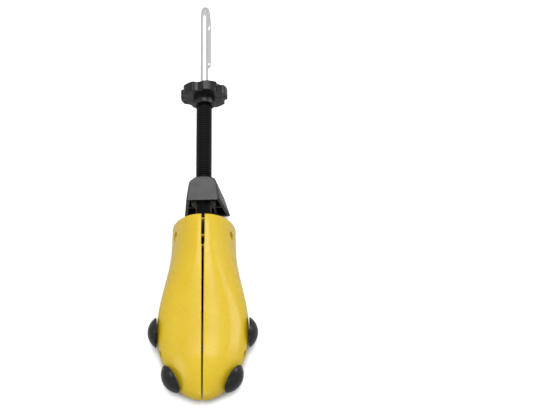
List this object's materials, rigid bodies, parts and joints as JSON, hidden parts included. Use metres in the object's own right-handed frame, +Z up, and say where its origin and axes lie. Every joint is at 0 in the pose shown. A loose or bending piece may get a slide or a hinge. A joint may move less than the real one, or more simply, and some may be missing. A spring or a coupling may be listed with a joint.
{
  "type": "shoe stretcher",
  "caption": "Two-way shoe stretcher: a split forepart spread by a hooked steel rod, and a heel piece driven along a threaded tube by a star knob.",
  "frame": {"origin": "at the level of the sole, under the middle of the whole length, on the plane between the halves", "axes": "+Y runs from the toe to the hook, +Z is up from the sole, +X is to the right seen from the toe with the sole down"},
  "size_m": [0.0828, 0.334, 0.0801],
  "materials": {
    "shell": "glossy yellow moulded plastic",
    "carrier": "dark moulded plastic",
    "hinge_pin": "turned steel",
    "wedge": "dark moulded plastic",
    "plated_nut": "zinc plated steel",
    "rod": "bright nickel plate over steel",
    "spring_steel": "spring steel",
    "tube": "black moulded plastic, semi-gloss",
    "retainer": "plated sheet steel",
    "knob": "black moulded plastic, glossy",
    "knob_screw": "bright steel",
    "heel": "black moulded plastic, satin",
    "heel_nut": "black moulded plastic",
    "plug": "black moulded plastic, glossy"
  },
  "bodies": {
    "carrier": {"hinge_carrier": "carrier", "left_hinge_pin": "hinge_pin", "right_hinge_pin": "hinge_pin", "tube_retainer": "retainer", "retainer_screws": "retainer", "return_spring": "spring_steel"},
    "left_half": {"left_shell": "shell"},
    "right_half": {"right_shell": "shell"},
    "wedge_body": {"wedge": "wedge", "wedge_nut": "plated_nut"},
    "spindle": {"hook_spindle": "rod", "rear_clip": "spring_steel", "front_washer": "plated_nut", "front_clip": "spring_steel"},
    "tube": {"threaded_tube": "tube", "tube_collar": "tube", "star_knob": "knob", "knob_screw": "knob_screw"},
    "heel": {"heel_piece": "heel", "heel_nut": "heel_nut"},
    "left_side_plug": {"left_side_plug": "plug"},
    "right_side_plug": {"right_side_plug": "plug"},
    "left_front_plug": {"left_front_plug": "plug"},
    "right_front_plug": {"right_front_plug": "plug"}
  },
  "joints": [
    {"name": "spindle_turn", "type": "hinge", "parent": "carrier", "child": "spindle", "pos_m": [0, -0.02531, 0.03], "axis": [0, 0.9659, 0.2588], "range_deg": [0, 7200]},
    {"name": "wedge_slide", "type": "slide", "parent": "carrier", "child": "wedge_body", "axis": [0, -0.9659, -0.2588], "range_m": [0, 0.02002]},
    {"name": "left_spread", "type": "hinge", "parent": "carrier", "child": "left_half", "pos_m": [-0.011, -0.03381, 0.025], "axis": [0, 0, -1], "range_deg": [0, 7.01], "deforming": ["return_spring"]},
    {"name": "right_spread", "type": "hinge", "parent": "carrier", "child": "right_half", "pos_m": [0.011, -0.03381, 0.025], "axis": [0, 0, 1], "range_deg": [0, 7.01]},
    {"name": "knob_turn", "type": "hinge", "parent": "carrier", "child": "tube", "pos_m": [0, -0.02531, 0.03], "axis": [0, -0.9659, -0.2588], "range_deg": [0, 11931.43]},
    {"name": "heel_slide", "type": "slide", "parent": "carrier", "child": "heel", "axis": [0, 0.9659, 0.2588], "range_m": [0, 0.05802]},
    {"name": "left_side_plug_pull", "type": "slide", "parent": "left_half", "child": "left_side_plug", "axis": [-1, 0, 0], "range_m": [0, 0.0065]},
    {"name": "right_side_plug_pull", "type": "slide", "parent": "right_half", "child": "right_side_plug", "axis": [1, 0, 0], "range_m": [0, 0.0065]},
    {"name": "left_front_plug_pull", "type": "slide", "parent": "left_half", "child": "left_front_plug", "axis": [-0.8245, -0.5561, 0.1045], "range_m": [0, 0.0065]},
    {"name": "right_front_plug_pull", "type": "slide", "parent": "right_half", "child": "right_front_plug", "axis": [0.8245, -0.5561, 0.1045], "range_m": [0, 0.0065]}
  ],
  "couplings": [
    {"joint": "wedge_slide", "follows": "spindle_turn", "m_per_rad": 0.00015915},
    {"joint": "left_spread", "follows": "spindle_turn", "ratio": 0.00097222},
    {"joint": "right_spread", "follows": "spindle_turn", "ratio": 0.00097222},
    {"joint": "heel_slide", "follows": "knob_turn", "m_per_rad": 0.00027852}
  ]
}
